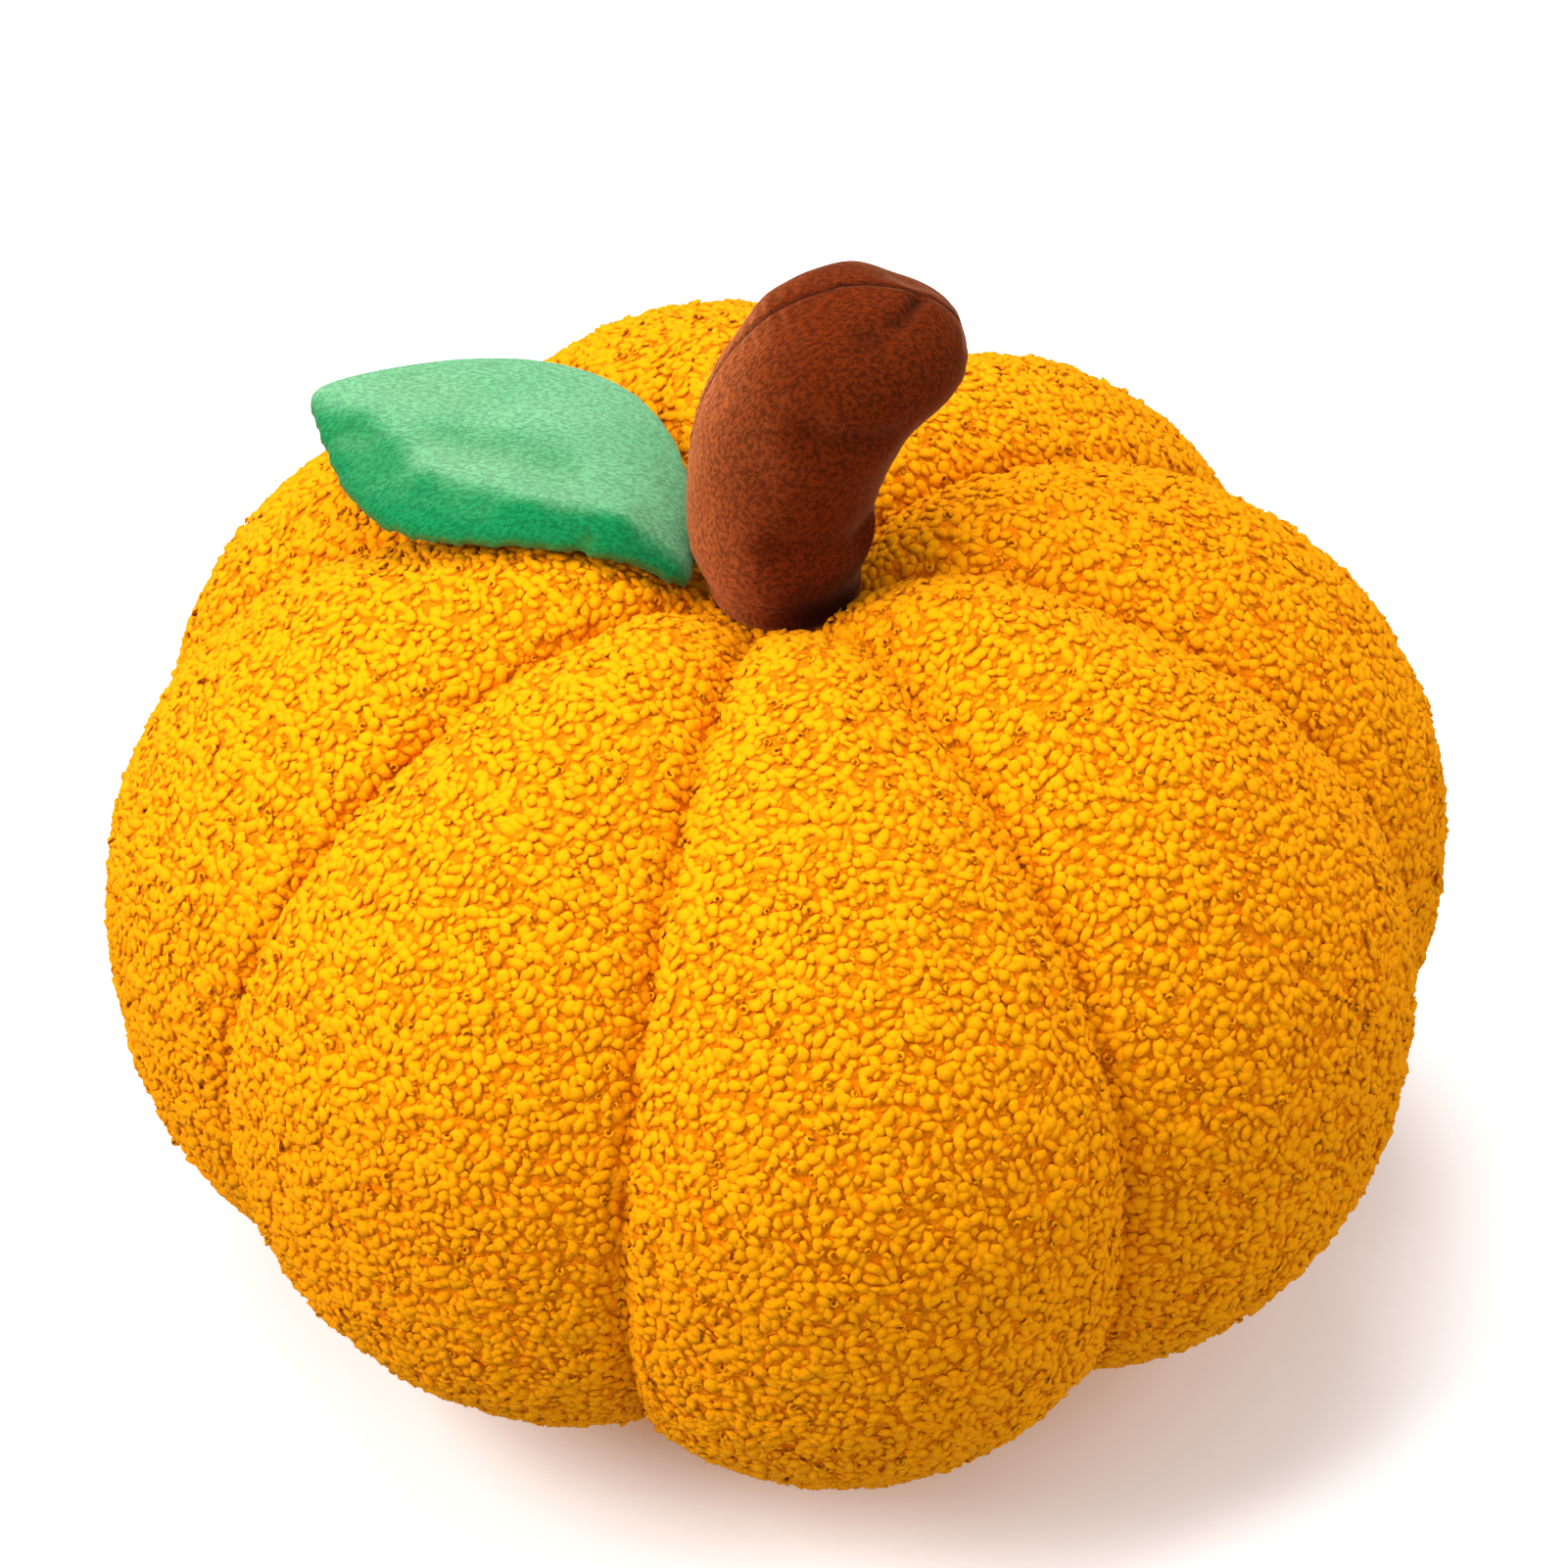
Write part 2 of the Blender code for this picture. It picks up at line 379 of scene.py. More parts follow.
def points_of(mesh: bpy.types.Mesh) -> Points:
    """The mesh's points, one row each."""
    flat = np.empty(len(mesh.vertices) * 3, np.float32)
    mesh.vertices.foreach_get("co", flat)
    return flat.reshape(-1, 3).astype(float)


def normals_of(mesh: bpy.types.Mesh) -> Points:
    """The unit normal at each point of the mesh."""
    flat = np.empty(len(mesh.vertices) * 3, np.float32)
    mesh.vertices.foreach_get("normal", flat)
    return flat.reshape(-1, 3).astype(float)


def move_points(mesh: bpy.types.Mesh, points: Points) -> None:
    """Puts the mesh's points there."""
    mesh.vertices.foreach_set("co", points.astype(np.float32).ravel())
    mesh.update()


def store(mesh: bpy.types.Mesh, name: str, values: Points) -> None:
    """Keeps one number for each point of the mesh as an attribute."""
    kept = mesh.attributes.new(name, "FLOAT", "POINT")
    kept.data.foreach_set("value", values.astype(np.float32))


def new_piece(name: str, mesh: bpy.types.Mesh) -> bpy.types.Object:
    """An object of that mesh in the scene, at the origin."""
    piece = bpy.data.objects.new(name, mesh)
    bpy.context.scene.collection.objects.link(piece)
    return piece


def welded_copy(node: bpy.types.Object, name: str) -> bpy.types.Object:
    """A piece with the shape of a CAD node, its loose triangles merged."""
    mesh = node.data.copy()
    mesh.name = name
    mesh.materials.clear()
    shape = bmesh.new()
    shape.from_mesh(mesh)
    bmesh.ops.remove_doubles(shape, verts=shape.verts, dist=WELD)
    shape.to_mesh(mesh)
    shape.free()
    return new_piece(name, mesh)


def settle(piece: bpy.types.Object) -> None:
    """Applies every modifier of the piece to its mesh."""
    graph = bpy.context.evaluated_depsgraph_get()
    result = bpy.data.meshes.new_from_object(
        piece.evaluated_get(graph), preserve_all_data_layers=True, depsgraph=graph
    )
    old = piece.data
    result.name = old.name + "_made"
    piece.modifiers.clear()
    piece.data = result
    bpy.data.meshes.remove(old)


def soften(piece: bpy.types.Object, iterations: int) -> None:
    """Adds a modifier that smooths the piece."""
    soft = piece.modifiers.new("soft", "SMOOTH")
    soft.factor = 0.5
    soft.iterations = iterations


def subdivide(piece: bpy.types.Object, levels: int) -> None:
    """Subdivides the piece smoothly and applies it."""
    finer = piece.modifiers.new("finer", "SUBSURF")
    finer.levels = levels
    finer.render_levels = levels
    settle(piece)


def dress(piece: bpy.types.Object, material: bpy.types.Material) -> None:
    """Gives the piece its material and smooth shading."""
    piece.data.materials.clear()
    piece.data.materials.append(material)
    piece.data.shade_smooth()


def bell(distance: Points, width: float) -> Points:
    """1 at no distance, falling off smoothly over that width."""
    return np.exp(-((distance / width) ** 2))


def seam_distance(points: Points) -> tuple[Points, Points]:
    """How the points lie to the body's seams.

    Args:
        points: The points, in metres.

    Returns:
        The sideways distance of each point from the nearest seam, and its distance from the middle axis.
    """
    radius = np.hypot(points[:, 0], points[:, 1])
    azimuth = np.degrees(np.arctan2(points[:, 0], -points[:, 1]))
    apart = np.full(len(points), 180.0)
    for seam in SEAM_AZIMUTHS:
        apart = np.minimum(apart, np.abs((azimuth - seam + 180.0) % 360.0 - 180.0))
    return radius * np.sin(np.radians(np.minimum(apart, 90.0))), radius


@dataclass(frozen=True)
class Fold:
    """A soft ridge or groove between two points of a cover, all in millimetres, with the painted shade that
    it gets.
    """

    start: Place
    end: Place
    width: float
    rise: float
    # How much painted shade the fold gets, from 0 to 1.
    shade: float = 0.0

    def mask(self, points: Points) -> Points:
        """How much of the fold each point has, from 0 to 1."""
        start = np.array(self.start) * MM
        along = np.array(self.end) * MM - start
        share = np.clip((points - start) @ along / (along @ along), 0.0, 1.0)
        gap = np.linalg.norm(points - start - share[:, None] * along, axis=1)
        return bell(gap, self.width * MM)


def press(mesh: bpy.types.Mesh, folds: tuple[Fold, ...], seam: Points, depth: float) -> None:
    """Draws in a seam, presses the folds and stores how much painted shade they get.

    Args:
        mesh: The cover's mesh.
        folds: The folds.
        seam: For each point, how near the seam it is, from 0 to 1.
        depth: How far the seam is drawn in.
    """
    points = points_of(mesh)
    offset = -depth * seam
    shade = SEAM_SHADE * seam
    for fold in folds:
        mask = fold.mask(points)
        offset += fold.rise * MM * mask
        shade = np.maximum(shade, fold.shade * mask)
    # The painted shade of the seam and the folds, kept on the mesh.
    store(mesh, "crease", shade)
    move_points(mesh, points + normals_of(mesh) * offset[:, None])


@dataclass(frozen=True)
class Filling:
    """How a sewn cover is filled until it is tight, by a cloth simulation."""

    voxel: float
    inset: float
    cap: float
    smoothing: int = 3
    pressure: float = 4.0
    mass: float = 0.3
    quality: int = 5
    frames: int = 20

    def remesh(self, piece: bpy.types.Object) -> None:
        """Gives the piece an even mesh of small squares."""
        even = piece.modifiers.new("even", "REMESH")
        even.mode = "VOXEL"
        even.voxel_size = self.voxel
        soften(piece, self.smoothing)
        settle(piece)

    def swell(self, piece: bpy.types.Object, held: Points) -> None:
        """Swells the piece and keeps each point near where it was.

        Args:
            piece: The piece, with an even mesh.
            held: For each point, from 0 for free to 1 for sewn down.
        """
        mesh = piece.data
        start = points_of(mesh)
        move_points(mesh, start - normals_of(mesh) * self.inset)
        cloth = piece.modifiers.new("cover", "CLOTH")
        cloth.settings.quality = self.quality
        cloth.settings.mass = self.mass
        cloth.settings.use_pressure = True
        cloth.settings.uniform_pressure_force = self.pressure
        cloth.settings.effector_weights.gravity = 0.0
        cloth.collision_settings.use_collision = False
        cloth.point_cache.frame_start = 1
        cloth.point_cache.frame_end = self.frames
        sewn = piece.vertex_groups.new(name="sewn")
        for index in np.flatnonzero(held > 0.01):
            sewn.add([int(index)], float(held[index]), "REPLACE")
        cloth.settings.vertex_group_mass = "sewn"
        scene = bpy.context.scene
        for frame in range(1, self.frames + 1):
            scene.frame_set(frame)
        graph = bpy.context.evaluated_depsgraph_get()
        swollen = points_of(piece.evaluated_get(graph).data)
        piece.modifiers.clear()
        piece.vertex_groups.clear()
        scene.frame_set(1)
        moved = swollen - start
        length = np.linalg.norm(moved, axis=1, keepdims=True)
        reach = np.minimum(1.0, self.cap / np.maximum(length, 1e-9))
        move_points(mesh, start + moved * reach)


# Sub-assemblies


@dataclass
class Body:
    """The filled body: a ground cloth drawn in at its seams, and its curls, one piece a panel."""

    node: bpy.types.Object
    finish: BoucleFinish
    filling: Filling = field(default_factory=lambda: Filling(voxel=6 * MM, inset=0.4 * MM, cap=3 * MM))
    seam_hold: float = 9 * MM
    stitch_depth: float = 5.5 * MM
    stitch_width: float = 3.0 * MM
    stitch_fade: float = 16 * MM
    rest_level: float = 1.6 * MM
    sunk: float = 1.0 * MM
    hollow_reach: float = 36 * MM
    hollow_sink: float = 2.5 * MM
    hollow_above: float = 100 * MM
    lumps: tuple[tuple[float, float], ...] = ((16 * MM, 2.2 * MM), (5 * MM, 1.6 * MM))
    curl_spacing: float = 2.25 * MM
    curl_density: float = 260000.0
    curl_scale: tuple[float, float] = (0.66, 1.22)
    curl_lean: float = 0.5
    shares: tuple[float, ...] = (0.0, 0.47, 0.94, 1.0)
    knob_sizes: tuple[Size, ...] = (
        (2.3 * MM, 2.0 * MM, 1.15 * MM),
        (2.7 * MM, 1.7 * MM, 1.15 * MM),
    )
    knob_rise: float = 0.1 * MM
    knob_unevenness: float = 0.22
    curl_arc: float = 0.95 * MM
    curl_thickness: float = 0.65 * MM
    curl_rise: float = 0.9 * MM
    curl_turn: float = math.radians(-285.0)
    curl_tilt: float = math.radians(65.0)
    curl_steps: int = 5
    curl_sides: int = 3

    def build(self) -> list[bpy.types.Object]:
        """Builds the body.

        Returns:
            The ground cloth, then the curls of each panel.
        """
        ground = self._ground()
        knobs = [self._knob(seed, size) for seed, size in enumerate(self.knob_sizes)]
        tufts = (*knobs, self._curl())
        material = self.finish.curls()
        pieces = [ground]
        for index in range(len(SEAM_AZIMUTHS)):
            pieces.append(self._panel_curls(ground, tufts, index, material))
        for tuft in tufts:
            bpy.data.objects.remove(tuft, do_unlink=True)
        return pieces

    def _ground(self) -> bpy.types.Object:
        """The filled ground cloth, with its seams sewn in."""
        ground = welded_copy(self.node, "body_ground")
        self.filling.remesh(ground)
        aside, _ = seam_distance(points_of(ground.data))
        self.filling.swell(ground, bell(aside, self.seam_hold))
        subdivide(ground, 1)
        self._sew(ground)
        self._roughen(ground)
        dress(ground, self.finish.ground())
        return ground

    def _sew(self, ground: bpy.types.Object) -> None:
        """Pulls the cloth in along each seam and presses it level underneath."""
        points = points_of(ground.data)
        aside, radius = seam_distance(points)
        depth = self.stitch_depth * bell(aside, self.stitch_width)
        depth *= np.clip(radius / self.stitch_fade - 1.0, 0.0, 1.0)
        hollow = self.hollow_sink * bell(radius, self.hollow_reach) * (points[:, 2] > self.hollow_above)
        points -= normals_of(ground.data) * (depth + self.sunk)[:, None]
        points[:, 2] -= hollow
        points[:, 2] = np.maximum(points[:, 2], self.rest_level)
        move_points(ground.data, points)

    def _roughen(self, ground: bpy.types.Object) -> None:
        """Gives the cloth the slight unevenness of loose filling."""
        for size, rise in self.lumps:
            lumps = bpy.data.textures.new("lumps", "CLOUDS")
            lumps.noise_scale = size
            uneven = ground.modifiers.new("uneven", "DISPLACE")
            uneven.texture = lumps
            uneven.strength = rise
            uneven.mid_level = 0.5
        settle(ground)

    def _tuft(self, shape: bmesh.types.BMesh, name: str) -> bpy.types.Object:
        """A piece of that shape, which is used up, with how high each point is, from 0 to 1."""
        bmesh.ops.recalc_face_normals(shape, faces=shape.faces)
        mesh = bpy.data.meshes.new(name)
        shape.to_mesh(mesh)
        shape.free()
        mesh.shade_smooth()
        heights = points_of(mesh)[:, 2]
        store(mesh, "rise", (heights - heights.min()) / (heights.max() - heights.min()))
        return new_piece(name, mesh)

    def _knob(self, seed: int, size: Size) -> bpy.types.Object:
        """A tight curl of yarn, seen as one small uneven round."""
        shape = bmesh.new()
        bmesh.ops.create_icosphere(shape, subdivisions=1, radius=1.0)
        chance = np.random.default_rng(seed)
        for vertex in shape.verts:
            vertex.co *= 1.0 + self.knob_unevenness * chance.uniform(-1.0, 1.0)
        bmesh.ops.scale(shape, verts=shape.verts, vec=size)
        bmesh.ops.translate(shape, verts=shape.verts, vec=(0.0, 0.0, self.knob_rise))
        return self._tuft(shape, "knob")

    def _curl(self) -> bpy.types.Object:
        """An open curl of yarn: a thin round spun part of the way round, lying on the ground."""
        shape = bmesh.new()
        made = bmesh.ops.create_circle(
            shape, cap_ends=True, segments=self.curl_sides, radius=self.curl_thickness
        )
        bmesh.ops.translate(shape, verts=made["verts"], vec=(self.curl_arc, 0.0, 0.0))
        bmesh.ops.spin(
            shape,
            geom=list(shape.faces),
            cent=(0.0, 0.0, 0.0),
            axis=(0.0, 1.0, 0.0),
            angle=self.curl_turn,
            steps=self.curl_steps,
            use_duplicate=False,
        )
        bmesh.ops.rotate(shape, verts=shape.verts, matrix=Matrix.Rotation(self.curl_tilt, 3, "X"))
        bmesh.ops.translate(shape, verts=shape.verts, vec=(0.0, 0.0, self.curl_rise))
        return self._tuft(shape, "curl")

    def _panel_curls(
        self,
        ground: bpy.types.Object,
        tufts: tuple[bpy.types.Object, ...],
        index: int,
        material: bpy.types.Material,
    ) -> bpy.types.Object:
        """The curls of one panel.

        Args:
            ground: The cloth that they stand on.
            tufts: Tight curls and an open one, to be scattered.
            index: Which panel, counted from the first seam.
            material: Their material.

        Returns:
            One piece with all of the panel's curls.
        """
        tree = bpy.data.node_groups.new(f"scatter_{index + 1}", "GeometryNodeTree")
        tree.interface.new_socket("Geometry", in_out="OUTPUT", socket_type="NodeSocketGeometry")
        sheet = Sheet(tree)
        cloth = sheet.add("GeometryNodeObjectInfo", {"Object": ground}).outputs["Geometry"]
        panel = sheet.add(
            "GeometryNodeDeleteGeometry",
            {"Geometry": cloth, "Selection": self._outside(sheet, index)},
            domain="FACE",
        ).outputs[0]
        spots = sheet.add(
            "GeometryNodeDistributePointsOnFaces",
            {
                "Mesh": panel,
                "Distance Min": self.curl_spacing,
                "Density Max": self.curl_density,
                "Seed": index,
            },
            distribute_method="POISSON",
        )
        turn = sheet.add(
            "FunctionNodeRandomValue",
            {
                0: (-self.curl_lean, -self.curl_lean, 0.0),
                1: (self.curl_lean, self.curl_lean, math.tau),
                "Seed": 11,
            },
            data_type="FLOAT_VECTOR",
        ).outputs[0]
        turned = sheet.add(
            "FunctionNodeRotateRotation",
            {
                "Rotation": spots.outputs["Rotation"],
                "Rotate By": sheet.add("FunctionNodeEulerToRotation", {0: turn}).outputs[0],
            },
            rotation_space="LOCAL",
        ).outputs[0]
        size = sheet.random(*self.curl_scale, 12)
        tone = sheet.random(0.0, 1.0, 13)
        kind = sheet.random(0.0, 1.0, 14)
        joined = sheet.add("GeometryNodeJoinGeometry")
        for tuft, low, high in zip(tufts, self.shares, self.shares[1:]):
            above = sheet.maths("GREATER_THAN", kind, low)
            scattered = sheet.add(
                "GeometryNodeInstanceOnPoints",
                {
                    "Points": spots.outputs["Points"],
                    "Selection": sheet.maths("MULTIPLY", above, sheet.maths("LESS_THAN", kind, high)),
                    "Instance": sheet.add("GeometryNodeObjectInfo", {"Object": tuft}).outputs["Geometry"],
                    "Rotation": turned,
                    "Scale": size,
                },
            ).outputs[0]
            toned = sheet.kept(scattered, "tone", tone, "FLOAT")
            laid = sheet.kept(toned, "lie", spots.outputs["Normal"], "FLOAT_VECTOR")
            sheet.feed(joined.inputs[0], laid)
        real = sheet.add("GeometryNodeRealizeInstances", {0: joined.outputs[0]}).outputs[0]
        sheet.feed(sheet.add("NodeGroupOutput").inputs[0], real)
        piece = new_piece(f"body_curls_{index + 1}", bpy.data.meshes.new(f"body_curls_{index + 1}"))
        piece.modifiers.new("scatter", "NODES").node_group = tree
        settle(piece)
        bpy.data.node_groups.remove(tree)
        dress(piece, material)
        return piece

    def _outside(self, sheet: Sheet, index: int) -> bpy.types.NodeSocket:
        """A mask of the faces that aren't on the panel after that seam."""
        start = SEAM_AZIMUTHS[index]
        width = (SEAM_AZIMUTHS[(index + 1) % len(SEAM_AZIMUTHS)] - start) % 360.0
        place = sheet.add("ShaderNodeSeparateXYZ", {0: sheet.add("GeometryNodeInputPosition").outputs[0]})
        azimuth = sheet.maths("ARCTAN2", place.outputs[0], sheet.maths("MULTIPLY", place.outputs[1], -1.0))
        past = sheet.maths("WRAP", sheet.maths("SUBTRACT", azimuth, math.radians(start)), math.tau, 0.0)
        return sheet.maths("GREATER_THAN", past, math.radians(width))


@dataclass
class Stem:
    """The stuffed stem: two boot-shaped panels sewn face to face."""

    node: bpy.types.Object
    finish: VelvetFinish
    filling: Filling = field(default_factory=lambda: Filling(voxel=3.5 * MM, inset=-1.2 * MM, cap=2.5 * MM))
    seam_hold: float = 3 * MM
    seam_grip: float = 0.9
    seam_depth: float = 0.8 * MM
    seam_width: float = 0.8 * MM
    pucker_rise: float = 0.12 * MM
    pucker_reach: float = 6 * MM
    pucker_pitch: float = 7 * MM
    folds: tuple[Fold, ...] = (
        # The last number of a fold is the painted shade along it.
        Fold((38.6, -3.0, 311.0), (33.4, -11.5, 308.0), 1.9, -1.9, 0.75),
        Fold((34.0, -10.0, 308.0), (24.6, -15.5, 306.0), 4.5, -0.9, 0.35),
        Fold((11.8, -24.1, 280.6), (28.6, -20.5, 277.6), 6.0, -1.6, 0.3),
        Fold((2.7, -23.3, 243.3), (21.6, -12.9, 239.7), 5.5, -1.3, 0.3),
        Fold((25.0, -7.0, 240.0), (27.0, -9.0, 226.0), 2.6, 2.0),
        # No height: a painted shadow at the foot, where the hollow shades it.
        Fold((12.0, -20.0, 217.0), (32.0, -8.0, 222.0), 11.0, 0.0, 0.95),
        # No height: painted shade down the inside of the bend.
        Fold((34.0, -4.0, 286.0), (25.0, -6.0, 232.0), 12.0, 0.0, 0.4),
        Fold((0.0, 10.0, 302.0), (19.0, 12.0, 311.0), 9.0, 2.4),
        Fold((36.0, 8.0, 311.0), (49.0, 2.0, 298.0), 8.0, -2.4),
    )
    foot_level: float = 212.8 * MM
    foot_height: float = 5 * MM
    foot_spread: float = 0.35
    foot_drop: float = 3 * MM

    def build(self) -> bpy.types.Object:
        """Builds the stem."""
        stem = welded_copy(self.node, "stem_cover")
        self.filling.remesh(stem)
        aside = np.abs(points_of(stem.data)[:, 1])
        self.filling.swell(stem, bell(aside, self.seam_hold) * self.seam_grip)
        subdivide(stem, 2)
        self._plant(stem)
        self._sew(stem)
        dress(stem, self.finish.material())
        return stem

    def _plant(self, stem: bpy.types.Object) -> None:
        """Spreads the stem's foot down into the curls that it is sewn to."""
        points = points_of(stem.data)
        low = bell(points[:, 2] - self.foot_level, self.foot_height)
        points[:, :2] *= (1.0 + self.foot_spread * low)[:, None]
        points[:, 2] -= self.foot_drop * low
        move_points(stem.data, points)

    def _sew(self, stem: bpy.types.Object) -> None:
        """Draws in the seam that runs up the outside of the bend, over the end and down the inside."""
        points = points_of(stem.data)
        aside = np.abs(points[:, 1])
        along = points[:, 0] + points[:, 2]
        pucker = np.sin(along / self.pucker_pitch * math.tau)
        pucker *= bell(aside - 0.6 * self.pucker_reach, 0.5 * self.pucker_reach)
        move_points(stem.data, points + normals_of(stem.data) * (self.pucker_rise * pucker)[:, None])
        # This also paints shade into the seam and the folds.
        press(stem.data, self.folds, bell(aside, self.seam_width), self.seam_depth)


@dataclass
class Leaf:
    """The padded leaf: two layers of velvet seamed round the edge."""

    node: bpy.types.Object
    finish: VelvetFinish
    filling: Filling = field(
        default_factory=lambda: Filling(voxel=1.4 * MM, inset=-0.8 * MM, cap=1.5 * MM, smoothing=8)
    )
    edge_hold: float = 3 * MM
    edge_depth: float = 0.35 * MM
    edge_width: float = 2.0 * MM
    smoothing: int = 20
    skin: float = 0.02 * MM
    folds: tuple[Fold, ...] = (
        Fold((-26.0, -7.0, 226.0), (-40.8, -3.0, 236.2), 5.0, 1.6),
        Fold((-40.8, -3.0, 236.2), (-63.4, 0.5, 239.0), 6.0, 1.4),
        Fold((-63.4, 0.5, 239.0), (-92.5, 17.0, 238.0), 6.5, 1.3),
        Fold((-92.5, 17.0, 238.0), (-110.1, 46.0, 237.0), 6.0, 1.2),
        # These folds also get a little painted shade.
        Fold((-117.5, 40.0, 232.5), (-109.5, 35.5, 235.0), 4.5, -0.5, 0.08),
        Fold((-98.7, 57.3, 238.3), (-85.1, 48.4, 240.6), 8.0, -1.2, 0.1),
        Fold((-88.4, 27.0, 240.0), (-60.0, 14.0, 241.0), 8.0, -1.1, 0.1),
        Fold((-50.2, -9.6, 234.2), (-52.0, -12.0, 231.0), 2.5, -1.0, 0.3),
    )

    def build(self) -> bpy.types.Object:
        """Builds the leaf."""
        leaf = welded_copy(self.node, "leaf_cover")
        self.filling.remesh(leaf)
        self.filling.swell(leaf, bell(self._thickness(leaf), self.edge_hold))
        subdivide(leaf, 1)
        self._sew(leaf)
        dress(leaf, self.finish.material())
        return leaf

    def _thickness(self, leaf: bpy.types.Object) -> Points:
        """How thick the leaf is, straight up or down, at each of its points."""
        mesh = leaf.data
        shape = bmesh.new()
        shape.from_mesh(mesh)
        tree = BVHTree.FromBMesh(shape)
        shape.free()
        points = points_of(mesh)
        upward = normals_of(mesh)[:, 2]
        found = np.zeros(len(points))
        for index, point in enumerate(points):
            way = Vector((0.0, 0.0, -1.0 if upward[index] > 0 else 1.0))
            hit = tree.ray_cast(Vector(point) + way * self.skin, way)
            found[index] = hit[3] if hit[3] is not None else 0.0
        return found

    def _sew(self, leaf: bpy.types.Object) -> None:
        """Draws in the seam between the two layers, all round the edge."""
        edge = bell(self._thickness(leaf), self.edge_width)
        # This paints the edge with the crease colour: a line of seam and painted reflection of the orange
        # body, and painted shade in the folds.
        press(leaf.data, self.folds, edge, self.edge_depth)
        soften(leaf, self.smoothing)
        settle(leaf)


# The studio


@dataclass(frozen=True)
class Softbox:
    """A square soft light that faces the cushion."""

    name: str
    place: Place
    side: float
    power: float


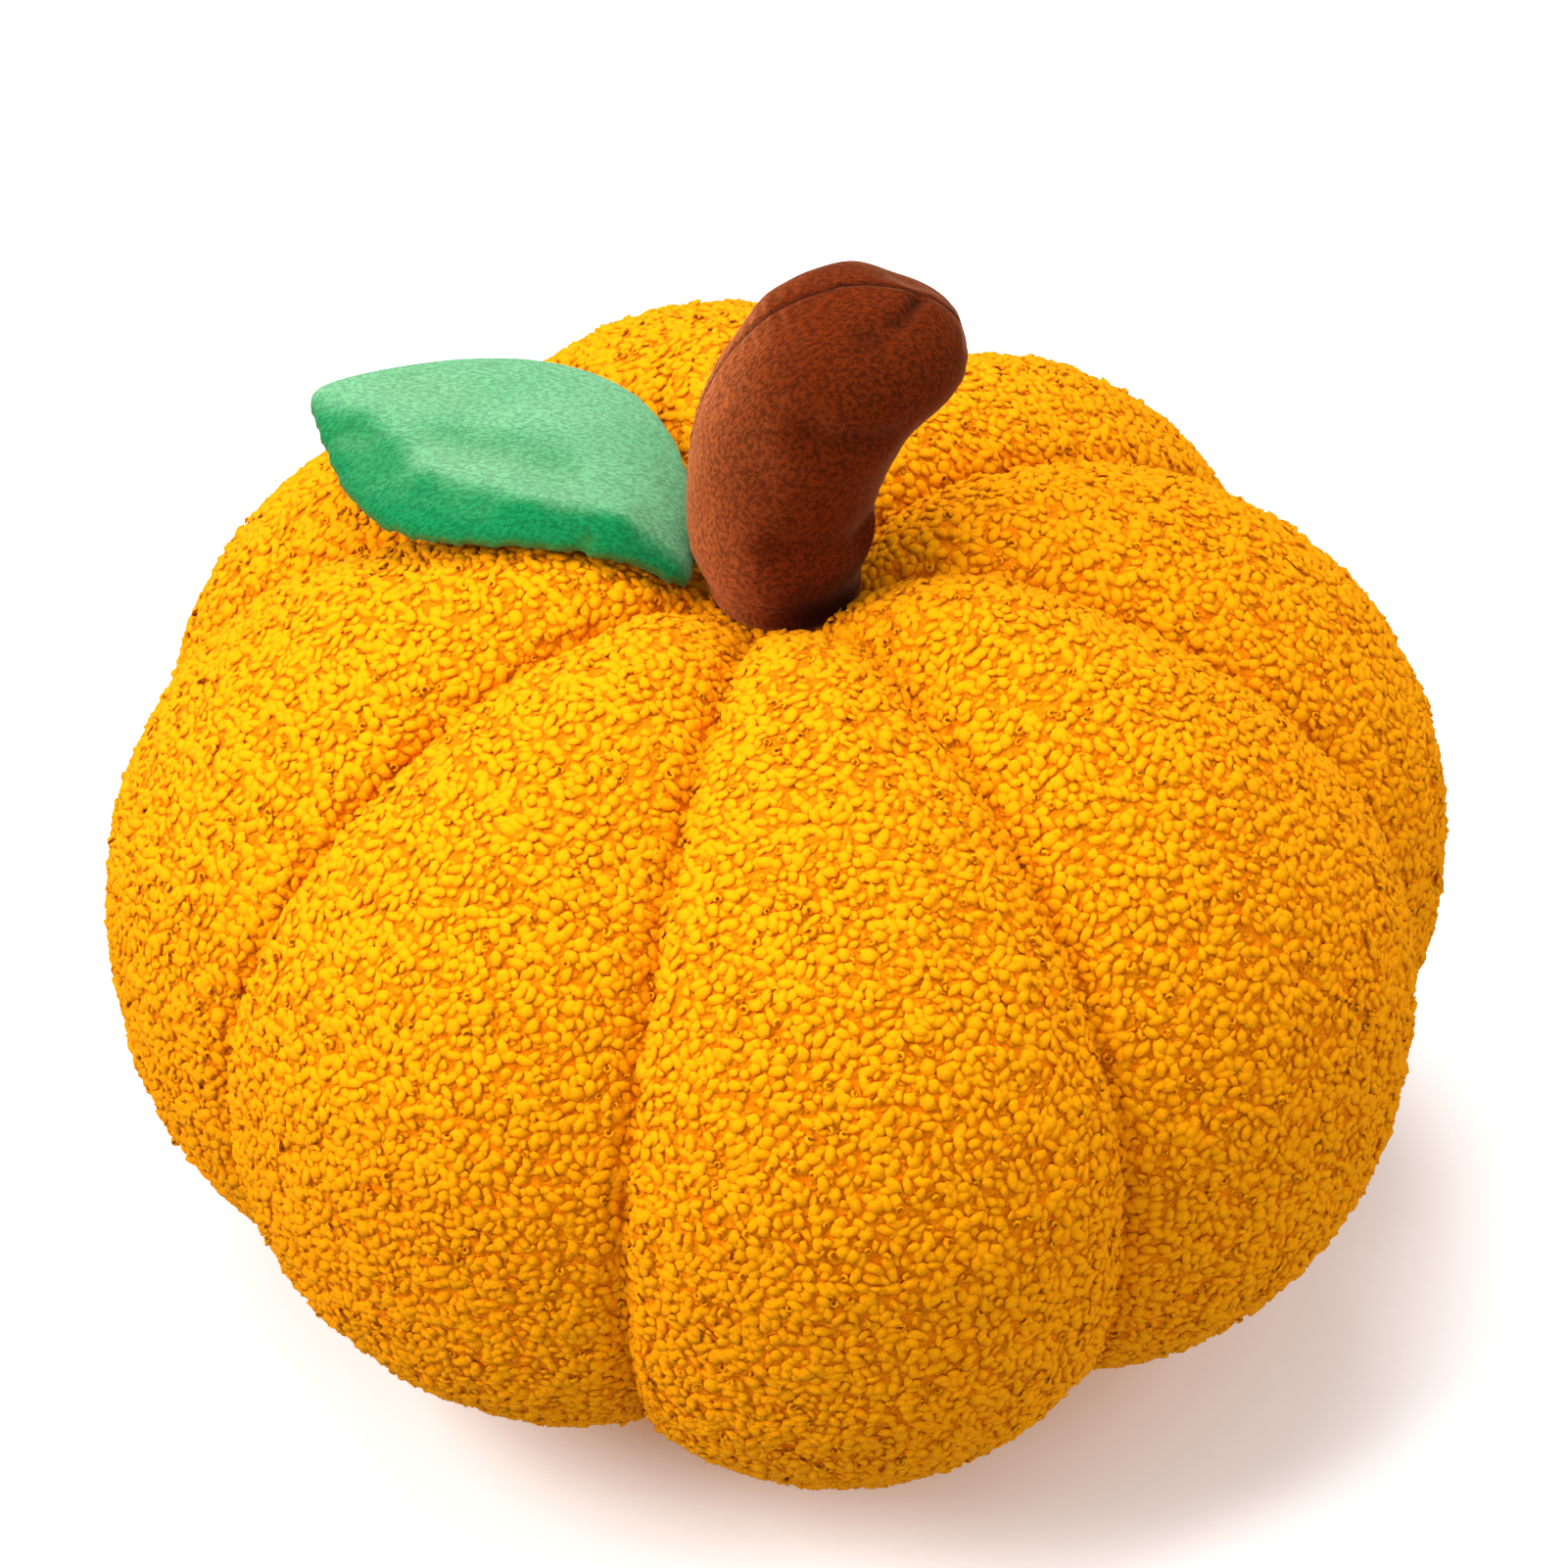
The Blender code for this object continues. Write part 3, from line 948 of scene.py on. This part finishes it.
@dataclass
class Studio:
    """The floor, the lights and the camera."""

    floor_colour: Colour = (0.96, 0.96, 0.96)
    sky: float = 0.6
    floor_half: float = 6.0
    floor_roughness: float = 0.9
    aim: Place = (2.88 * MM, 12.87 * MM, 134.1 * MM)
    distance: float = 2.744
    elevation: float = 38.67
    focal_pixels: float = 10160.0
    photo_pixels: float = 1601.0
    sensor: float = 36.0
    lights: tuple[Softbox, ...] = (
        Softbox("key", (-1.9, -0.7, 1.7), 1.6, 72.0),
        Softbox("top", (-0.3, 0.5, 2.4), 1.6, 58.0),
        Softbox("side", (2.1, -0.2, 1.3), 1.4, 17.0),
        Softbox("front", (0.6, -2.2, 1.0), 1.6, 11.0),
    )

    def build(self) -> None:
        """Sets up the studio."""
        self._floor()
        for light in self.lights:
            self._light(light)
        self._sky()
        self._camera()
        settings = bpy.context.scene.view_settings
        settings.view_transform = "Standard"
        settings.look = "None"
        settings.exposure = 0.0

    def _floor(self) -> None:
        """A wide pale floor."""
        mesh = bpy.data.meshes.new("floor")
        shape = bmesh.new()
        bmesh.ops.create_grid(shape, x_segments=1, y_segments=1, size=self.floor_half)
        shape.to_mesh(mesh)
        shape.free()
        floor = new_piece("floor", mesh)
        material, _, shader = new_material("pale_floor")
        shader.inputs["Base Color"].default_value = rgba(self.floor_colour)
        shader.inputs["Roughness"].default_value = self.floor_roughness
        shader.inputs["Specular IOR Level"].default_value = 0.0
        mesh.materials.append(material)
        floor.visible_diffuse = False

    def _light(self, light: Softbox) -> None:
        """One soft light, aimed at the cushion."""
        lamp = bpy.data.lights.new(light.name, "AREA")
        lamp.size = light.side
        lamp.energy = light.power
        holder = bpy.data.objects.new(light.name, lamp)
        holder.location = light.place
        toward = Vector(self.aim) - Vector(light.place)
        holder.rotation_euler = toward.to_track_quat("-Z", "Y").to_euler()
        bpy.context.scene.collection.objects.link(holder)

    def _sky(self) -> None:
        """An even white light from all round."""
        world = bpy.data.worlds.new("studio")
        world.use_nodes = True
        background = world.node_tree.nodes["Background"]
        background.inputs["Color"].default_value = (1.0, 1.0, 1.0, 1.0)
        background.inputs["Strength"].default_value = self.sky
        bpy.context.scene.world = world

    def _camera(self) -> None:
        """The camera, at the photo's height and distance."""
        lens = bpy.data.cameras.new("camera")
        lens.sensor_width = self.sensor
        lens.lens = self.focal_pixels / self.photo_pixels * lens.sensor_width
        lens.clip_end = 50.0
        camera = bpy.data.objects.new("camera", lens)
        angle = math.radians(self.elevation)
        back = Vector((0.0, -math.cos(angle), math.sin(angle)))
        camera.location = Vector(self.aim) + back * self.distance
        camera.rotation_euler = (-back).to_track_quat("-Z", "Y").to_euler()
        bpy.context.scene.collection.objects.link(camera)
        bpy.context.scene.camera = camera


BOUCLE = BoucleFinish("body_boucle")
STEM_VELVET = VelvetFinish(
    name="stem_velvet",
    brushed_light=(0.40, 0.105, 0.030),
    brushed_deep=(0.29, 0.060, 0.014),
    # Painted shade on the right side and the top of the stem.
    shaded_side_colour=(0.110, 0.0135, 0.0004),
    # Colour of the painted shade in the stem's seam and folds.
    crease=(0.006, 0.0003, 0.0001),
    sheen_tint=(0.85, 0.40, 0.20),
    pile=Pile.UPRIGHT,
    shade_toward=(0.8, -0.25, 0.55),
    shade_from=-0.8,
    shade_to=0.3,
    sheen=0.3,
    grain_low=0.5,
)
LEAF_VELVET = VelvetFinish(
    name="leaf_velvet",
    brushed_light=(0.128, 0.325, 0.162),
    brushed_deep=(0.086, 0.285, 0.127),
    # Painted shade on the leaf's front slope and its tip.
    shaded_side_colour=(0.004, 0.158, 0.046),
    # A yellow-green line of seam and painted reflection of the orange body along the edge, and painted shade
    # in the folds.
    crease=(0.07, 0.12, 0.012),
    sheen_tint=(0.5, 1.0, 0.7),
    pile=Pile.SLANTED,
    shade_toward=(-0.35, -0.9, 0.25),
    shade_from=0.2,
    shade_to=0.8,
    sheen=0.2,
    grain_low=0.7,
)


def attach(piece: bpy.types.Object, node: str) -> None:
    """Hangs a piece on the frame, hides the CAD node that it replaces and logs its face count.

    Args:
        piece: The piece.
        node: The CAD node that it replaces.
    """
    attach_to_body(piece, "root")
    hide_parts(node)
    LOG.info("%s: %d faces", piece.name, len(piece.data.polygons))


def main() -> None:
    """Builds the cushion in its studio."""
    logging.basicConfig(level=logging.INFO, format="%(message)s")
    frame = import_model()
    nodes = frame["nodes"]
    ground, *curls = Body(nodes["body"], BOUCLE).build()
    attach(ground, "body")
    for piece in curls:
        attach(piece, "body")
    attach(Stem(nodes["stem"], STEM_VELVET).build(), "stem")
    attach(Leaf(nodes["leaf"], LEAF_VELVET).build(), "leaf")
    Studio().build()


if __name__ == "__main__":
    main()
